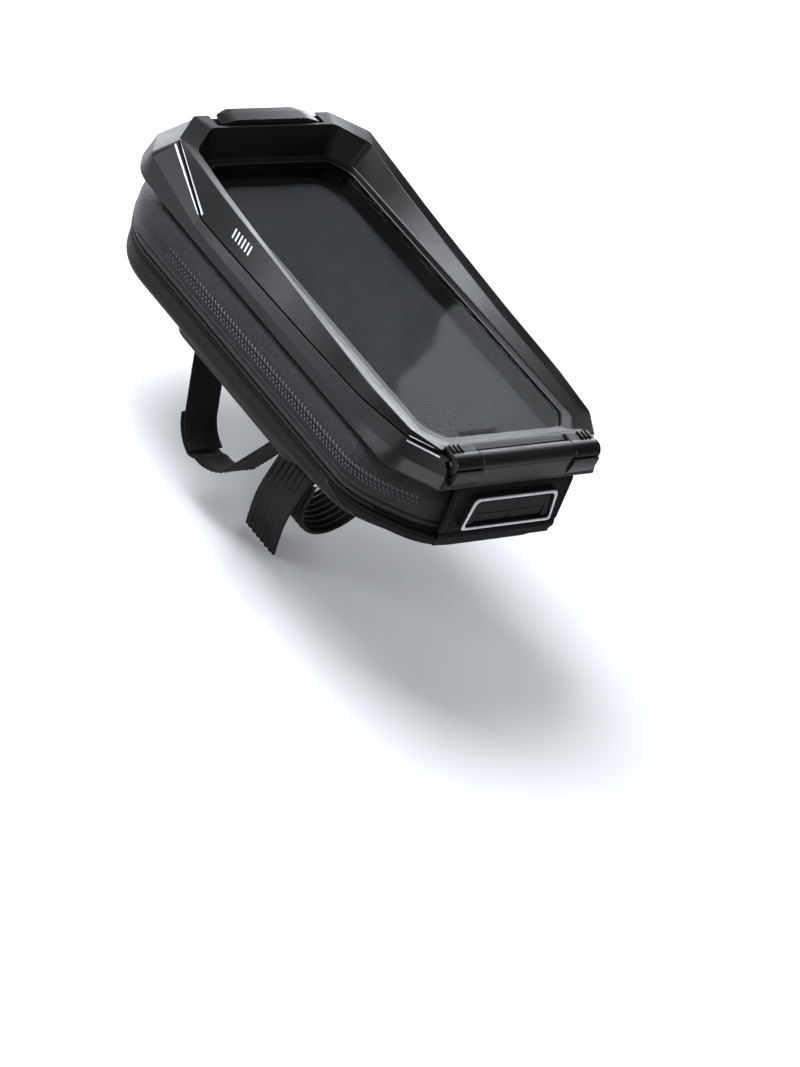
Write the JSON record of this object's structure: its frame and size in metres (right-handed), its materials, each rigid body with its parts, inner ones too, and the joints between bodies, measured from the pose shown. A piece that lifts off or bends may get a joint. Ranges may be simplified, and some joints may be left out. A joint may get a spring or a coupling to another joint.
{
  "type": "handlebar phone bag mount",
  "caption": "Hard-shell handlebar phone bag: zipped moulded bag, flip-up visor with clear touch window, cable port and strap mounts for bar and stem.",
  "frame": {"origin": "on the flat underside of the rubber grip pad, in the middle plane of the bag, under the middle of the window", "axes": "+X to the rider's right across the bag, +Y along the bag away from the rider, +Z out through the window"},
  "size_m": [0.1283, 0.2092, 0.1232],
  "materials": {
    "hard_plastic": "satin black moulded plastic with crisp edges",
    "eva_leather": "charcoal faux leather with an embossed carbon band",
    "weave_fabric": "carbon-look embossed fabric over moulded foam",
    "panel_fabric": "ribbed black fabric",
    "rubber": "dark grey rubber",
    "clear_film": "clear touch film",
    "foam": "grey foam mat",
    "zip_tape": "black woven zip tape",
    "webbing": "hook-and-loop webbing",
    "nickel_steel": "bright plated steel",
    "black_zinc": "black plated steel",
    "silver_trim": "silver paint",
    "board": "dark moulded board"
  },
  "bodies": {
    "bag": {"lower_shell": "weave_fabric", "stiffener_board": "board", "strap_plate": "hard_plastic", "grip_pad": "rubber", "plate_rivet_1": "black_zinc", "plate_rivet_2": "black_zinc", "plate_rivet_3": "black_zinc", "plate_rivet_4": "black_zinc", "bar_strap_left": "webbing", "bar_strap_right": "webbing", "stem_strap": "rubber", "ring_webbing": "webbing", "strap_ring": "nickel_steel", "hinge_strip": "panel_fabric", "zip_tape_lower": "zip_tape"},
    "lid": {"lid_shell": "eva_leather", "base_frame": "hard_plastic", "phone_tray": "board", "tray_mat": "foam", "corner_bumper_far_left": "rubber", "corner_bumper_far_right": "rubber", "corner_bumper_near_left": "rubber", "corner_bumper_near_right": "rubber", "zip_tape_upper": "zip_tape", "hinge_panel": "panel_fabric", "port_frame": "silver_trim", "port_housing": "rubber", "latch_catch": "black_zinc"},
    "visor": {"visor_hood": "hard_plastic", "window_film": "clear_film", "window_retainer": "hard_plastic", "window_gasket": "rubber", "hinge_pin_left": "nickel_steel", "hinge_pin_right": "nickel_steel", "window_screw_1": "nickel_steel", "window_screw_2": "nickel_steel", "window_screw_3": "nickel_steel", "window_screw_4": "nickel_steel", "window_screw_5": "nickel_steel", "window_screw_6": "nickel_steel"},
    "latch": {"latch_slide": "hard_plastic"},
    "zip": {"zip_slider": "nickel_steel"},
    "pull": {"zip_pull": "rubber"},
    "flap_left": {"port_flap_left": "rubber"},
    "flap_right": {"port_flap_right": "rubber"}
  },
  "joints": [
    {"name": "lid_hinge", "type": "hinge", "parent": "bag", "child": "lid", "pos_m": [0, -0.1016, 0.022], "axis": [1, 0, 0], "range_deg": [0, 80]},
    {"name": "visor_hinge", "type": "hinge", "parent": "lid", "child": "visor", "pos_m": [0, -0.094, 0.0544], "axis": [1, 0, 0], "range_deg": [0, 110]},
    {"name": "latch_slide_out", "type": "slide", "parent": "visor", "child": "latch", "axis": [0, 1, 0], "range_m": [0, 0.0012], "stiffness_N_per_m": 300},
    {"name": "zip_run", "type": "slide", "parent": "bag", "child": "zip", "axis": [0, 1, 0], "range_m": [0, 0.124]},
    {"name": "zip_pull_swing", "type": "hinge", "parent": "zip", "child": "pull", "pos_m": [0.0655, -0.062, 0.0219], "axis": [0, -1, 0], "range_deg": [0, 150]},
    {"name": "port_flap_left_fold", "type": "hinge", "parent": "lid", "child": "flap_left", "pos_m": [-0.00965, -0.10161, 0.033], "axis": [-1, 0, 0], "range_deg": [0, 60], "stiffness_Nm_per_rad": 0.002},
    {"name": "port_flap_right_fold", "type": "hinge", "parent": "lid", "child": "flap_right", "pos_m": [0.00965, -0.10161, 0.033], "axis": [-1, 0, 0], "range_deg": [0, 60], "stiffness_Nm_per_rad": 0.002}
  ]
}
